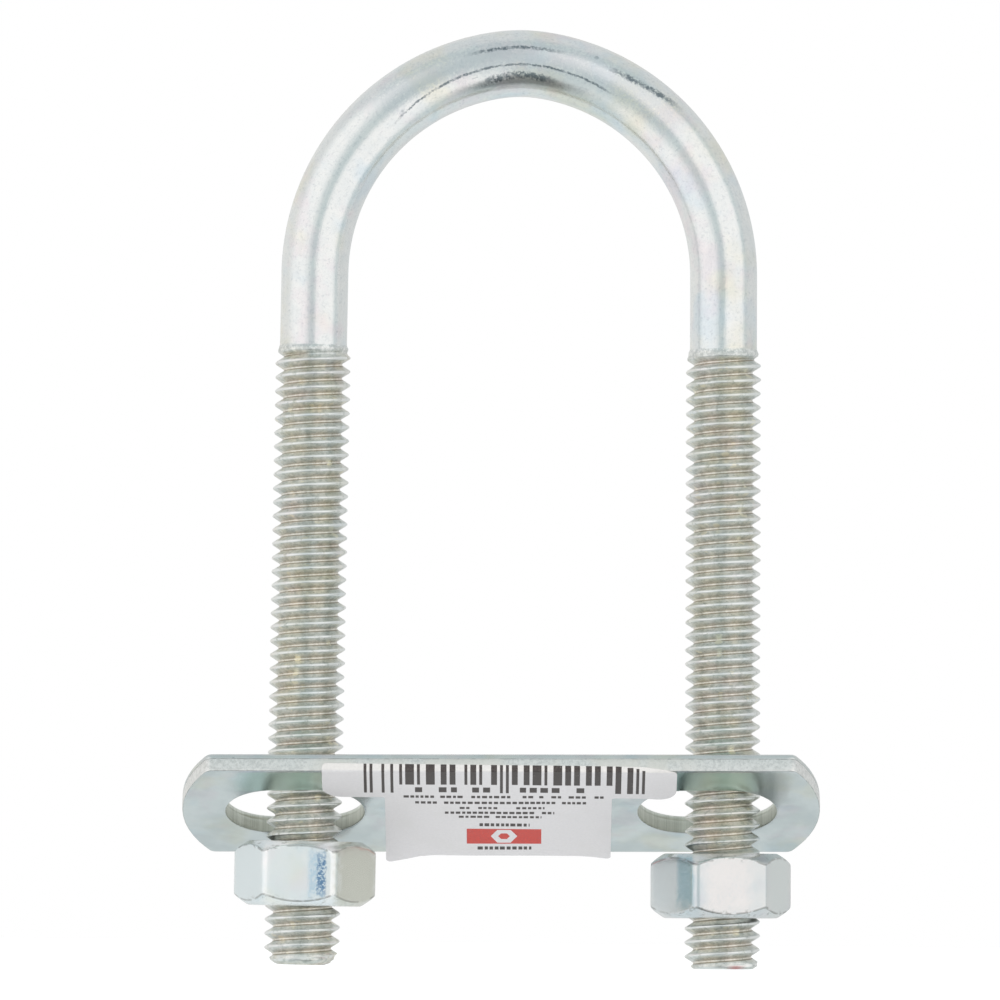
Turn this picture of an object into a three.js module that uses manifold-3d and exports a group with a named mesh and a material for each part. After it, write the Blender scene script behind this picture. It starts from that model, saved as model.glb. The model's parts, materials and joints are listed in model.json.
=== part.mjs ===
// U-bolt with a slotted clamp plate, two hexagon nuts and a paper label.
//
// Millimetres, +Z up. The origin is between the legs at the height where the bend begins, on the
// axis of a pipe that fills the width between the legs. X runs across the two legs, Y along the
// pipe, and Z from the leg ends to the crown. The legs spread a little towards their ends.

import * as THREE from 'three';
import { mergeVertices } from 'three/addons/utils/BufferGeometryUtils.js';
import Module from 'manifold-3d';

const wasm = await Module();
wasm.setup();

// Driving dimensions

const INCH = 25.4;
const DEGREE = Math.PI / 180;

const insideWidth = 34.76;
const overallLength = 3.75 * INCH;
const legSpread = 0.45 * DEGREE;
const shankRadius = 3.4;
const crownBendRadius = 15.1;
const crownHalfAngle = 8.2 * DEGREE;

const pitch = INCH / 18;
const crestRadius = 3.825;
const rootRadius = 2.96;
const rootFlat = 0.16;
const threadLength = 62.6;
const runOutLength = 1.6;
const legEndRadius = 2.9;
const leftThreadPhase = 0.7;
const rightThreadPhase = 0.405;

const plateLength = 64.7;
const plateEdgeLength = 59.2;
const plateWidth = 0.75 * INCH;
const plateThickness = 2.0;
const plateTilt = 25.3 * DEGREE;
const plateRoll = 0.58 * DEGREE;
const plateShiftX = -1.25;
const plateShiftY = -0.4;
const plateAboveLegEnd = 15.72;
const slotSpacing = 41.8;
const slotLength = 14.0;
const slotWidth = 9.7;

const nutAcrossFlats = 12.7;
const nutThickness = 6.55;
const nutFaceRadius = 5.7;
const nutChamferAngle = 32 * DEGREE;
const nutGrooveRadius = 4.25;
const nutBoreRadius = 3.36;
const nutMouthRadius = 4.35;
const leftNutAboveLegEnd = 5.97;
const rightNutAboveLegEnd = 5.16;
const leftNutTurn = -4.6 * DEGREE;
const rightNutTurn = 8.2 * DEGREE;
const travelDown = 4.9;
const travelUp = 47;

const labelThickness = 0.12;
const labelGap = 0.1;
const labelLength = 36.3;
const labelReach = 6.6;
const labelCorner = 2.0;
const labelStemWidth = 23.3;
const labelStemShift = -0.25;
const labelOverhang = 1.0;
const labelSideHeight = 0.9;

const threadSegments = 12;
const shankSides = 20;
const rodSteps = 44;
const roundSegments = 24;
const margin = 2;

// Derived dimensions

const legX = insideWidth / 2 + shankRadius;
const crownHalfWidth = crownBendRadius * Math.sin(crownHalfAngle);
const sideBendRadius = (legX - crownHalfWidth) / (1 - Math.sin(crownHalfAngle));
const crownCentre = (sideBendRadius - crownBendRadius) * Math.cos(crownHalfAngle);
const crownTop = crownCentre + crownBendRadius + shankRadius;
const legEnd = crownTop - overallLength;

// Each leg is straight below its root, where the bend ends, and leans outwards by the spread. It has
// a frame of its own, with Z up along the leg from the root.
const rootX = legX - sideBendRadius * (1 - Math.cos(legSpread));
const rootZ = sideBendRadius * Math.sin(legSpread);
const endRise = legEndRadius * Math.sin(legSpread);
const legLength = (rootZ - legEnd - endRise) / Math.cos(legSpread);
const threadTop = threadLength - legLength;
const nutCornerRadius = nutAcrossFlats / Math.sqrt(3);

// The nuts ride straight up with the plate while the legs lean, so each nut is set inwards by as
// much as centres it on its leg in the middle of the plate's travel.
const nutInset = (travelUp - travelDown) / 2 * Math.tan(legSpread);

// Finishes

const zinc = { color: 0xc6cccc, roughness: 0.28, metalness: 1 };
const threadedZinc = { color: 0xbcc0b8, roughness: 0.4, metalness: 1 };
const paper = { color: 0xe4e2dd, roughness: 0.7, metalness: 0 };

// Solids and meshes

function toSolid(geometry) {
  const bare = geometry.clone();
  bare.deleteAttribute('normal');
  bare.deleteAttribute('uv');
  const merged = mergeVertices(bare, 1e-5);
  return new wasm.Manifold(new wasm.Mesh({
    numProp: 3,
    vertProperties: new Float32Array(merged.attributes.position.array),
    triVerts: new Uint32Array(merged.index.array),
  }));
}

function toGeometry(solid) {
  const mesh = solid.getMesh();
  const geometry = new THREE.BufferGeometry();
  geometry.setAttribute('position', new THREE.Float32BufferAttribute(mesh.vertProperties, 3));
  geometry.setIndex(new THREE.Uint32BufferAttribute(mesh.triVerts, 1));
  geometry.computeVertexNormals();
  return geometry;
}

function makeMesh(name, solid, finish) {
  const mesh = new THREE.Mesh(toGeometry(solid), new THREE.MeshStandardMaterial(finish));
  mesh.name = name;
  return mesh;
}

// A solid of revolution about Z, from [radius, height] pairs that start and end on the axis.
function turnedSolid(profile) {
  const points = profile.map(([radius, height]) => new THREE.Vector2(radius, height));
  const geometry = new THREE.LatheGeometry(points, roundSegments);
  geometry.rotateX(Math.PI / 2);
  return toSolid(geometry);
}

function extrudedSolid(shape, thickness, bottom) {
  const geometry = new THREE.ExtrudeGeometry(shape, {
    depth: thickness,
    bevelEnabled: false,
    curveSegments: roundSegments / 3,
  });
  geometry.translate(0, 0, bottom);
  return toSolid(geometry);
}

// Threads

// One turn of the outside thread: [height within the turn, radius]. The crest is sharp and the
// root has a narrow flat.
const boltProfile = [
  [0, crestRadius],
  [pitch * (0.5 - rootFlat / 2), rootRadius],
  [pitch * (0.5 + rootFlat / 2), rootRadius],
];

// The space that the nut's thread leaves: the bolt's thread moved outwards, cut off at the bore.
const flankSlope = (crestRadius - rootRadius) / boltProfile[1][0];
const nutFlankHeight = (nutGrooveRadius - nutBoreRadius) / flankSlope;
const nutProfile = [
  [0, nutGrooveRadius],
  [nutFlankHeight, nutBoreRadius],
  [pitch - nutFlankHeight, nutBoreRadius],
];

// The height along a leg of its crest at angle 0, in the first turn above the given height. The
// phase is the crest's height above the leg's end, in turns.
function crestHeightAbove(height, phase) {
  return Math.ceil((height + legLength) / pitch - phase) * pitch + phase * pitch - legLength;
}

// A right-hand screw along Z with a crest at angle 0 and the height `start`. Each step is one
// slice of a turn further round and higher, so the profile of one turn joins the next one.
function screwSolid(profile, start, end, radiusAt) {
  const steps = Math.ceil((end - start) / pitch) * threadSegments;
  const rows = profile.length;
  const positions = [];
  const triangles = [];

  for (let step = 0; step <= steps; step += 1) {
    const turns = step / threadSegments;
    for (const [rise, radius] of profile) {
      const height = start + turns * pitch + rise;
      const r = radiusAt(radius, height);
      const angle = turns * 2 * Math.PI;
      positions.push(r * Math.cos(angle), r * Math.sin(angle), height);
    }
  }
  const vertex = (step, row) => (
    row < rows ? step * rows + row : (step + threadSegments) * rows + row - rows
  );
  for (let step = 0; step < steps; step += 1) {
    for (let row = 0; row < rows; row += 1) {
      if (row === rows - 1 && step + threadSegments >= steps) {
        continue;
      }
      const [a, b] = [vertex(step, row), vertex(step + 1, row)];
      const [c, d] = [vertex(step + 1, row + 1), vertex(step, row + 1)];
      triangles.push(a, b, c, a, c, d);
    }
  }

  // Both ends are closed by fans from a point on the axis.
  const bottomCentre = positions.length / 3;
  const topCentre = bottomCentre + 1;
  positions.push(0, 0, start + pitch / 2);
  positions.push(0, 0, start + (steps / threadSegments) * pitch);
  for (let step = 0; step < threadSegments; step += 1) {
    triangles.push(bottomCentre, vertex(step + 1, 0), vertex(step, 0));
    const upper = steps - threadSegments + step;
    triangles.push(topCentre, vertex(upper, rows - 1), vertex(upper + 1, rows - 1));
  }
  for (let row = 0; row < rows; row += 1) {
    triangles.push(bottomCentre, vertex(0, row), vertex(0, row + 1));
  }
  for (let row = 0; row < rows - 1; row += 1) {
    triangles.push(topCentre, vertex(steps, row + 1), vertex(steps, row));
  }
  triangles.push(topCentre, vertex(steps, 0), vertex(steps - threadSegments, rows - 1));

  const geometry = new THREE.BufferGeometry();
  geometry.setAttribute('position', new THREE.Float32BufferAttribute(positions, 3));
  geometry.setIndex(triangles);
  return toSolid(geometry);
}

// Near the shank the crests come down and the roots come up to just under its surface.
function runOutRadius(radius, height) {
  const reached = (height - (threadTop - runOutLength)) / runOutLength;
  const blend = THREE.MathUtils.clamp(reached, 0, 1);
  return THREE.MathUtils.lerp(radius, shankRadius - 0.03, blend);
}

function threadedLeg(phase) {
  const start = crestHeightAbove(-legLength - margin * pitch, phase);
  const thread = screwSolid(boltProfile, start, threadTop + margin * pitch, runOutRadius);
  const chamfer = crestRadius - legEndRadius + 0.1;
  const envelope = turnedSolid([
    [0, -legLength],
    [legEndRadius, -legLength],
    [legEndRadius + chamfer, chamfer - legLength],
    [legEndRadius + chamfer, threadTop + 1],
    [0, threadTop + 1],
  ]);
  return thread.intersect(envelope);
}

// Moves a solid from a leg's own frame to its place. The side is -1 for the left leg, 1 for the right.
function placeOnLeg(solid, side) {
  return solid.rotate([0, -side * legSpread / DEGREE, 0]).translate([side * rootX, 0, rootZ]);
}

// The rod's centre line: up one leg, over a three-centred arch and down the other leg. The arch has
// a tighter arc at the crown, between two wider arcs that run into the legs at their roots.
class RodLine extends THREE.Curve {
  getPoint(share, target = new THREE.Vector3()) {
    const crownArc = crownBendRadius * crownHalfAngle;
    const sideArc = sideBendRadius * (Math.PI / 2 - legSpread - crownHalfAngle);
    const halfLength = crownArc + sideArc - threadTop;
    const fromCrown = (2 * share - 1) * halfLength;
    const distance = Math.abs(fromCrown);
    const side = Math.sign(fromCrown);
    if (distance < crownArc) {
      const angle = distance / crownBendRadius;
      const height = crownCentre + crownBendRadius * Math.cos(angle);
      return target.set(side * crownBendRadius * Math.sin(angle), 0, height);
    }
    if (distance < crownArc + sideArc) {
      const angle = crownHalfAngle + (distance - crownArc) / sideBendRadius;
      const reach = legX - sideBendRadius * (1 - Math.sin(angle));
      return target.set(side * reach, 0, sideBendRadius * Math.cos(angle));
    }
    const down = distance - crownArc - sideArc;
    const reach = rootX + down * Math.sin(legSpread);
    return target.set(side * reach, 0, rootZ - down * Math.cos(legSpread));
  }
}

function plainRod() {
  const section = new THREE.Shape();
  section.absarc(0, 0, shankRadius, 0, 2 * Math.PI, false);
  const geometry = new THREE.ExtrudeGeometry(section, {
    steps: rodSteps,
    curveSegments: shankSides / 2,
    extrudePath: new RodLine(),
  });
  return toSolid(geometry);
}

function uBolt() {
  const leftLeg = placeOnLeg(threadedLeg(leftThreadPhase), -1);
  const rightLeg = placeOnLeg(threadedLeg(rightThreadPhase), 1);
  return makeMesh('u_bolt', plainRod().add(leftLeg).add(rightLeg), threadedZinc);
}

// Clamp plate

// A strip with straight long edges and slightly rounded ends.
function plateOutline() {
  const bulge = (plateLength - plateEdgeLength) / 2;
  const half = plateWidth / 2;
  const radius = (half * half + bulge * bulge) / (2 * bulge);
  const centre = plateLength / 2 - radius;
  const angle = Math.asin(half / radius);
  const outline = new THREE.Shape();
  outline.moveTo(-plateEdgeLength / 2, -half);
  outline.lineTo(plateEdgeLength / 2, -half);
  outline.absarc(centre, 0, radius, -angle, angle, false);
  outline.lineTo(-plateEdgeLength / 2, half);
  outline.absarc(-centre, 0, radius, Math.PI - angle, Math.PI + angle, false);
  return outline;
}

function slotOutline(centre) {
  const radius = slotWidth / 2;
  const half = slotLength / 2 - radius;
  const slot = new THREE.Path();
  slot.absarc(centre + half, 0, radius, -Math.PI / 2, Math.PI / 2, false);
  slot.absarc(centre - half, 0, radius, Math.PI / 2, 1.5 * Math.PI, false);
  slot.closePath();
  return slot;
}

function clampPlate() {
  const outline = plateOutline();
  outline.holes = [slotOutline(-slotSpacing / 2), slotOutline(slotSpacing / 2)];
  return makeMesh('clamp_plate', extrudedSolid(outline, plateThickness, 0), zinc);
}

// Label

function roundedRectangle(left, low, right, high, radius) {
  const shape = new THREE.Shape();
  shape.absarc(right - radius, low + radius, radius, -Math.PI / 2, 0, false);
  shape.absarc(right - radius, high - radius, radius, 0, Math.PI / 2, false);
  shape.absarc(left + radius, high - radius, radius, Math.PI / 2, Math.PI, false);
  shape.absarc(left + radius, low + radius, radius, Math.PI, 1.5 * Math.PI, false);
  shape.closePath();
  return shape;
}

// A T-shaped sticker: its wide strip wraps round the plate's near edge on to the underside, and
// its stem runs across the underside and past the far edge.
function paperLabel() {
  const bottom = -labelGap - labelThickness;
  const near = -plateWidth / 2 + bottom;
  const reach = -plateWidth / 2 + labelReach;
  const half = labelLength / 2;
  const stemLeft = labelStemShift - labelStemWidth / 2;
  const stemRight = labelStemShift + labelStemWidth / 2;
  const far = plateWidth / 2 + labelOverhang;
  const foldCut = labelCorner;

  const strip = roundedRectangle(-half, near - foldCut, half, reach, labelCorner);
  const stem = roundedRectangle(stemLeft, reach - margin, stemRight, far, 0.3);
  const foldBox = new THREE.BoxGeometry(labelLength + margin, foldCut, margin);
  foldBox.translate(0, near - foldCut / 2, bottom);
  const underside = extrudedSolid(strip, labelThickness, bottom)
    .subtract(toSolid(foldBox))
    .add(extrudedSolid(stem, labelThickness, bottom));

  const sideHeight = labelSideHeight - bottom;
  const side = new THREE.BoxGeometry(labelLength, labelThickness, sideHeight);
  side.translate(0, near + labelThickness / 2, bottom + sideHeight / 2);
  return makeMesh('label', underside.add(toSolid(side)), paper);
}

// The plate and its label lean together on the left nut: the near edge is up.
function plateWithLabel() {
  const tilted = new THREE.Group();
  tilted.add(clampPlate(), paperLabel());
  tilted.rotation.x = -plateTilt;
  const rolled = new THREE.Group();
  rolled.add(tilted);
  rolled.rotation.y = -plateRoll;
  rolled.position.set(plateShiftX, plateShiftY, legEnd + plateAboveLegEnd);
  return rolled;
}

// Nuts

// A hexagon with a chamfer at both faces, and a thread that follows the leg's thread.
function hexNut(name, turn, crestHeight) {
  const hexagon = new THREE.Shape();
  for (let corner = 0; corner < 6; corner += 1) {
    const angle = turn + corner * Math.PI / 3;
    const point = [nutCornerRadius * Math.cos(angle), nutCornerRadius * Math.sin(angle)];
    if (corner === 0) {
      hexagon.moveTo(...point);
    } else {
      hexagon.lineTo(...point);
    }
  }
  const outerRadius = nutCornerRadius + 0.5;
  const drop = (outerRadius - nutFaceRadius) * Math.tan(nutChamferAngle);
  const envelope = turnedSolid([
    [0, 0],
    [nutFaceRadius, 0],
    [outerRadius, drop],
    [outerRadius, nutThickness - drop],
    [nutFaceRadius, nutThickness],
    [0, nutThickness],
  ]);
  const start = crestHeight - 2 * margin * pitch;
  const bore = screwSolid(nutProfile, start, nutThickness + margin * pitch, (radius) => radius);
  const mouthDepth = nutMouthRadius - nutBoreRadius;
  const lowMouth = turnedSolid([
    [0, -margin],
    [nutMouthRadius + margin, -margin],
    [nutBoreRadius, mouthDepth],
    [0, mouthDepth],
  ]);
  const highMouth = turnedSolid([
    [0, nutThickness - mouthDepth],
    [nutBoreRadius, nutThickness - mouthDepth],
    [nutMouthRadius + margin, nutThickness + margin],
    [0, nutThickness + margin],
  ]);
  const body = extrudedSolid(hexagon, nutThickness, 0)
    .intersect(envelope)
    .subtract(bore)
    .subtract(lowMouth)
    .subtract(highMouth);
  return makeMesh(name, body, zinc);
}

function nutOnLeg(name, side, aboveLegEnd, turn, phase) {
  const bottom = aboveLegEnd - legLength;
  const nut = hexNut(name, turn, crestHeightAbove(bottom, phase) - bottom);
  nut.position.set(-side * nutInset, 0, bottom);
  const leg = new THREE.Group();
  leg.add(nut);
  leg.rotation.y = -side * legSpread;
  leg.position.set(side * rootX, 0, rootZ);
  return leg;
}

const group = new THREE.Group();
group.add(
  uBolt(),
  plateWithLabel(),
  nutOnLeg('nut_left', -1, leftNutAboveLegEnd, leftNutTurn, leftThreadPhase),
  nutOnLeg('nut_right', 1, rightNutAboveLegEnd, rightNutTurn, rightThreadPhase),
);

export default group;
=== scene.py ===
"""Zinc-plated u-bolt with a slotted clamp plate, two hexagon nuts and a paper barcode label.

Shapes are worked out in millimetres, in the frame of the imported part: X across the legs, Y away from
the viewer, Z up to the crown. They are turned into metres when a mesh is made.
"""

import json
import random
from math import acos, asin, atan2, ceil, copysign, cos, floor, hypot, pi, radians, sin, sqrt, tan

import bmesh
import bpy
from mathutils import Matrix, Vector, noise
from mathutils.geometry import delaunay_2d_cdt


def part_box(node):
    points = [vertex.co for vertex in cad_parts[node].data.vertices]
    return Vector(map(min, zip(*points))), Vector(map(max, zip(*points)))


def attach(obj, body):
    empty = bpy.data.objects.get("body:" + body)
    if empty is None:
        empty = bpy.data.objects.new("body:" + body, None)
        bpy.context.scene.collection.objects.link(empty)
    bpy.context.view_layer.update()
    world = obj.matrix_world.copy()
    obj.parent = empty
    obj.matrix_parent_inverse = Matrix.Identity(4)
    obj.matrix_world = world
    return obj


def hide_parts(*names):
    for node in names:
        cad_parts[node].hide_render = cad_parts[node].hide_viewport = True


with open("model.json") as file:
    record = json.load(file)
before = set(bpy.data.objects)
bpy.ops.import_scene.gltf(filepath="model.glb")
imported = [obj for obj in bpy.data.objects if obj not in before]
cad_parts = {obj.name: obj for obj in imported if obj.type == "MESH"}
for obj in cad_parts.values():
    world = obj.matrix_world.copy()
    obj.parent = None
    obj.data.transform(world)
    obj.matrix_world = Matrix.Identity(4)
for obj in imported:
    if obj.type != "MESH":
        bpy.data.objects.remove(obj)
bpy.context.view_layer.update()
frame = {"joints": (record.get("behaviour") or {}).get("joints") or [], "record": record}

MM = 0.001
TAU = 2 * pi

# ---- places from the frame
joints = {joint["name"]: joint for joint in frame["joints"]}
mounts = {mount["name"]: mount for mount in frame["record"]["mounts"]}
bolt_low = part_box("u_bolt")[0]
PLATE_PLACE = Vector(mounts["plate_bearing_face"]["pos_m"]) / MM
PLATE_UP = Vector(mounts["plate_bearing_face"]["axis"]).normalized()


class Leg:
    """One leg's own frame. Heights go up its axis from the middle of its end."""

    def __init__(self, name, side, thread_phase, nut_turn):
        mount = mounts["leg_end_" + name]
        self.name = name
        self.side = side
        self.thread_phase = thread_phase
        self.nut_turn = radians(nut_turn)
        self.end = Vector(mount["pos_m"]) / MM
        self.up = -Vector(mount["axis"]).normalized()
        self.across = Vector((self.up.z, 0, -self.up.x))
        self.nut_place = Vector(joints["nut_%s_turn" % name]["pos_m"]) / MM

    def place(self, x, y, height):
        return self.end + x * self.across + Vector((0, y, 0)) + height * self.up

    def local(self, point):
        offset = point - self.end
        return offset.dot(self.across), offset.y, offset.dot(self.up)


# the thread's phase is the height of a crest above the leg's end, in turns, where the leg faces +X
LEGS = (Leg("left", -1, 0.7, -4.6), Leg("right", 1, 0.405, 8.2))

# ---- rod and threads, mm
INSIDE_WIDTH = 34.76
SHANK_RADIUS = 3.4
LEG_X = INSIDE_WIDTH / 2 + SHANK_RADIUS
LEG_SPREAD = atan2(abs(LEGS[0].up.x), LEGS[0].up.z)
CROWN_BEND_RADIUS = 15.1
CROWN_HALF_ANGLE = radians(8.2)
CROWN_SINE = sin(CROWN_HALF_ANGLE)
SIDE_BEND_RADIUS = (LEG_X - CROWN_BEND_RADIUS * CROWN_SINE) / (1 - CROWN_SINE)
CROWN_CENTRE = (SIDE_BEND_RADIUS - CROWN_BEND_RADIUS) * cos(CROWN_HALF_ANGLE)
CROWN_ARC = CROWN_BEND_RADIUS * CROWN_HALF_ANGLE
SIDE_ARC = SIDE_BEND_RADIUS * (pi / 2 - LEG_SPREAD - CROWN_HALF_ANGLE)
ARCH_HALF = CROWN_ARC + SIDE_ARC
ROOT_HEIGHT = SIDE_BEND_RADIUS * sin(LEG_SPREAD)
LEG_LENGTH = (ROOT_HEIGHT - LEGS[0].end.z) / LEGS[0].up.z

PITCH = 25.4 / 18
CREST_RADIUS = 3.82
ROOT_RADIUS = 2.96
THREAD_LENGTH = 62.6
RUN_OUT = 1.1
COLLAR_SWELL = 0.16
ROD_COLUMNS = 56
RING_STEP = 0.7
SHANK_CREST = 0.6
# radius of each leg end's flat, height and reach of its rounding, and the angle of its burr
END_SHAPES = {"left": (2.1, 0.9, 1.25, -62), "right": (2.75, 0.45, 0.5, -27)}
BURR_HALF_ANGLE = 34
BURR_REACH = 0.75
# the rings that close a leg's end, as shares of its rim's radius
END_RINGS = (0.85, 0.65, 0.4, 0.2)
# heights of the rows of one turn of thread above its crest, in turns
THREAD_ROWS = (0, 0.055, 0.11, 0.16, 0.3, 0.42, 0.46, 0.5, 0.54, 0.58, 0.7, 0.84, 0.89, 0.945)

# ---- nuts, mm
NUT_FLAT = 6.35
NUT_HEIGHT = 6.55
NUT_CORNER_ROUND = 0.85
NUT_FACE_RADIUS = 5.72
NUT_GROOVE_RADIUS = 4.28
NUT_BORE_RADIUS = 3.38
NUT_MOUTH_RADIUS = 4.45

# ---- plate, mm
PLATE_LENGTH = 64.7
PLATE_EDGE_LENGTH = 59.2
PLATE_WIDTH = 19.05
PLATE_THICKNESS = 2
SLOT_SPACING = 41.8
SLOT_LENGTH = 14
SLOT_WIDTH = 9.7

# ---- label, mm
LABEL_LEFT = -18.05
LABEL_RIGHT = 17.7
LABEL_REACH = 6
LABEL_END = 19.4
LABEL_STEM_LEFT = -11.75
LABEL_STEM_RIGHT = 11.2
LABEL_SKEW = 0.011
LABEL_THICKNESS = 0.09
LABEL_GAP = 0.03
LABEL_FOLD = 0.22
BARS_LEFT = -13.85
BARS_RIGHT = 14.5
SHORT_BAR_END = 3.05
LONG_BAR_END = 4.95
# left, right, nearest and furthest reach of each line of small print
PRINT_LINES = (
    (-10.4, 10.5, 5.55, 6.1),
    (-8.7, 8.6, 6.9, 7.45),
    (-4.2, 4.4, 8.15, 8.65),
    (-5.7, 5.4, 9.25, 9.8),
    (-4.3, 4.1, 10.25, 10.75),
    (-2.2, 2.9, 12, 12.7),
    (-2.4, 3.1, 17.3, 18),
)
# the mark's red bar: left, nearest reach, right, furthest reach
MARK_BAR = (-3.5, 13.3, 4.1, 16.7)
MARK_CENTRE = (0.3, 15)

# ---- mesh helpers


def add_object(name, data):
    thing = bpy.data.objects.new(name, data)
    bpy.context.scene.collection.objects.link(thing)
    return thing


def new_piece(name, vertices, faces, materials, face_slots=None):
    """A mesh object from millimetre points. face_slots gives each face's material number."""
    mesh = bpy.data.meshes.new(name)
    mesh.from_pydata([Vector(v) * MM for v in vertices], [], faces)
    for material in materials:
        mesh.materials.append(material)
    if face_slots:
        mesh.polygons.foreach_set("material_index", face_slots)
    mesh.polygons.foreach_set("use_smooth", [True] * len(mesh.polygons))
    mesh.update()
    return add_object(name, mesh)


def add_attributes(piece, **values):
    for name, numbers in values.items():
        layer = piece.data.attributes.new(name, "FLOAT", "POINT")
        layer.data.foreach_set("value", numbers)


def tidy_mesh(piece, sharp_angle):
    """Makes the face directions agree, and marks the edges that are sharper than an angle."""
    mesh = bmesh.new()
    mesh.from_mesh(piece.data)
    bmesh.ops.recalc_face_normals(mesh, faces=mesh.faces)
    mesh.to_mesh(piece.data)
    mesh.free()
    piece.data.set_sharp_from_angle(angle=radians(sharp_angle))


def ramp(value, low, high):
    """0 below low, 1 above high, and a smooth step between them."""
    share = min(1, max(0, (value - low) / (high - low)))
    return share * share * (3 - 2 * share)


def mix(a, b, share):
    return a + (b - a) * share


def grain(point, scale, seed=0):
    """Smooth noise from -1 to 1 at a point in mm. scale is about the size of a spot in mm."""
    return noise.noise(Vector((point[0] / scale + seed, point[1] / scale, point[2] / scale)))


# ---- rod


def thread_form(share):
    """The radius of a full thread at a share of one turn above a crest."""
    across = min(share % 1, 1 - share % 1)
    crest_half = 0.15
    root_half = 0.08
    crest_round = 0.2
    root_round = 0.05
    if across < crest_half:
        return CREST_RADIUS - crest_round * (across / crest_half) ** 2
    if across > 0.5 - root_half:
        return ROOT_RADIUS + root_round * ((0.5 - across) / root_half) ** 2
    slope = (across - crest_half) / (0.5 - root_half - crest_half)
    return mix(CREST_RADIUS - crest_round, ROOT_RADIUS + root_round, slope)


def rod_ring(distance):
    """The points round the rod at a distance from the crown. Column 0 is at the back (+Y)."""
    side = 1 if distance >= 0 else -1
    along = abs(distance)
    if along < CROWN_ARC:
        angle = along / CROWN_BEND_RADIUS
        reach = CROWN_BEND_RADIUS * sin(angle)
        height = CROWN_CENTRE + CROWN_BEND_RADIUS * cos(angle)
    else:
        angle = CROWN_HALF_ANGLE + (min(along, ARCH_HALF) - CROWN_ARC) / SIDE_BEND_RADIUS
        straight = max(0, along - CROWN_ARC - SIDE_ARC)
        reach = LEG_X - SIDE_BEND_RADIUS * (1 - sin(angle)) + straight * cos(angle)
        height = SIDE_BEND_RADIUS * cos(angle) - straight * sin(angle)
    outward = Vector((side * sin(angle), 0, cos(angle)))
    back = Vector((0, 1, 0))
    middle = Vector((side * reach, 0, height))
    turns = [TAU * column / ROD_COLUMNS for column in range(ROD_COLUMNS)]
    return [middle + SHANK_RADIUS * (cos(t) * back + sin(t) * outward) for t in turns]


def bell(value, middle, half):
    """1 at the middle, and 0 from half away on."""
    return ramp(half - abs(value - middle), 0, half)


def end_limit(leg, height, angle):
    """How far out the rounded-off leg end lets the thread reach."""
    low, round_height, reach, burr_angle = END_SHAPES[leg.name]
    share = min(1, max(0, height) / round_height)
    limit = low + reach * sqrt(share * (2 - share)) + max(0, height - round_height)
    burr = bell(angle, radians(burr_angle), radians(BURR_HALF_ANGLE))
    return limit + BURR_REACH * (burr * ramp(1.1 - height, 0, 1))


def add_leg(leg, points, faces, crests, flanks):
    """Adds a threaded leg as columns of points that climb with the thread, from below the leg's end
    up to a level ring. Column 0 is at the back. Returns the ring and its height."""
    first = len(points)
    form = len(THREAD_ROWS)
    # column 0 is a quarter turn past the side that the phase is for
    start = (floor(-1.6 - leg.thread_phase) + leg.thread_phase + 0.25) * PITCH
    level_turns = 2
    turns = ceil((THREAD_LENGTH + level_turns * PITCH - start) / PITCH)
    rows = turns * form
    for column in range(ROD_COLUMNS):
        turn = column / ROD_COLUMNS
        angle = pi / 2 + TAU * turn
        front_angle = (angle + pi) % TAU - pi
        for row in range(rows + 1):
            share = THREAD_ROWS[row % form]
            climb = row // form + share
            level = max(0, (climb - turns + level_turns) / level_turns)
            height = start + (climb + turn * (1 - level)) * PITCH
            radius = thread_form(share)
            crest = (radius - ROOT_RADIUS) / (CREST_RADIUS - ROOT_RADIUS)
            fade = ramp(height, THREAD_LENGTH - RUN_OUT, THREAD_LENGTH)
            radius = mix(radius, SHANK_RADIUS, fade)
            place = leg.place(radius * cos(angle), radius * sin(angle), height)
            wear = 0.045 * grain(place, 0.8, 3) * crest + 0.02 * grain(place, 0.3, 9)
            collar = bell(height, THREAD_LENGTH - 0.2, 0.6)
            wear += collar * (COLLAR_SWELL + 0.09 * grain(place, 0.6, 5))
            radius += wear * ramp(THREAD_LENGTH + 0.5 - height, 0, 0.5)
            radius = min(radius, end_limit(leg, height, front_angle))
            points.append(leg.place(radius * cos(angle), radius * sin(angle), height))
            crests.append(mix(crest, SHANK_CREST, fade))
            flanks.append(sin(TAU * share) * (1 - fade))

    def vertex(column, row):
        if column == ROD_COLUMNS:
            return first + row + form
        return first + column * (rows + 1) + row

    for column in range(ROD_COLUMNS):
        last = column == ROD_COLUMNS - 1
        for row in range(rows - form if last else rows):
            a, b = vertex(column, row), vertex(column + 1, row)
            faces.append((a, b, vertex(column + 1, row + 1), vertex(column, row + 1)))
    # the climbing grid's free edge at the seam is closed by one many-sided face
    seam = [vertex(ROD_COLUMNS - 1, row) for row in range(rows - form, rows + 1)]
    faces.append([vertex(0, rows)] + seam[::-1])
    return [vertex(column, rows) for column in range(ROD_COLUMNS)], start + turns * PITCH


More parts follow.
